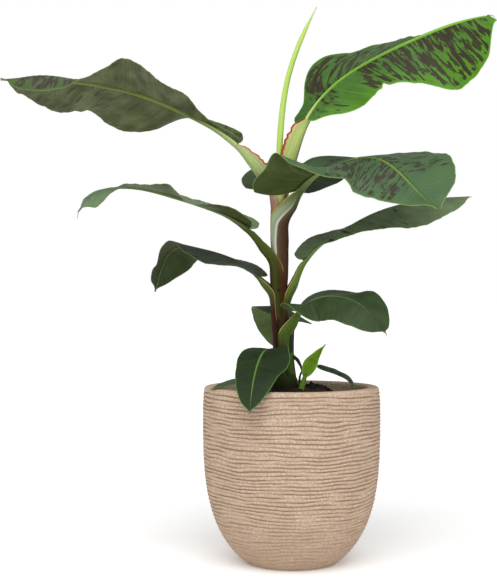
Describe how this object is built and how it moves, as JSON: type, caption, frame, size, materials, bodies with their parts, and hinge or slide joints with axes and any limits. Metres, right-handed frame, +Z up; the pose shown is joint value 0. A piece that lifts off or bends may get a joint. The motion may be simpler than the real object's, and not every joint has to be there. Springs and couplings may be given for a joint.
{
  "type": "potted banana plant",
  "caption": "Young banana plant with broad paddle leaves on channelled stalks, a stem of rolled sheaths and a rolled spear leaf, in a ribbed egg-shaped pot.",
  "frame": {"origin": "centre of the pot's flat underside, at ground level", "axes": "+Z up, along the pot's axis; the pictured side faces -Y and the longest leaves reach out to -X and +X"},
  "size_m": [0.9145, 0.5378, 1.0927],
  "materials": {
    "pot": "matt sandy composite with shallow ribs and fine speckle",
    "soil": "dark crumbly potting soil",
    "stem": "satin olive and brown leaf sheaths",
    "stalk": "satin green with red margins",
    "blade": "satin green leaf with maroon blotches on its upper side",
    "spear": "satin pale yellow-green"
  },
  "bodies": {
    "root": {"pot": "pot", "soil": "soil", "stem": "stem", "old_stalk": "stem", "spear_leaf": "spear", "stalk_top_right": "stalk", "stalk_top_left": "stalk", "stalk_front_right": "stalk", "stalk_back": "stalk", "stalk_mid_right": "stalk", "stalk_mid_left": "stalk", "stalk_low_left": "stalk", "stalk_low_right": "stalk", "stalk_low_back": "stalk", "stalk_front_low": "stalk", "stalk_shoot": "stalk", "stalk_foot_right": "stalk", "stalk_foot_left": "stalk", "blade_top_right": "blade", "blade_top_left": "blade", "blade_front_right": "blade", "blade_back": "blade", "blade_mid_right": "blade", "blade_mid_left": "blade", "blade_low_left": "blade", "blade_low_right": "blade", "blade_low_back": "blade", "blade_front_low": "blade", "blade_shoot": "blade", "blade_foot_right": "blade", "blade_foot_left": "blade"}
  },
  "joints": []
}
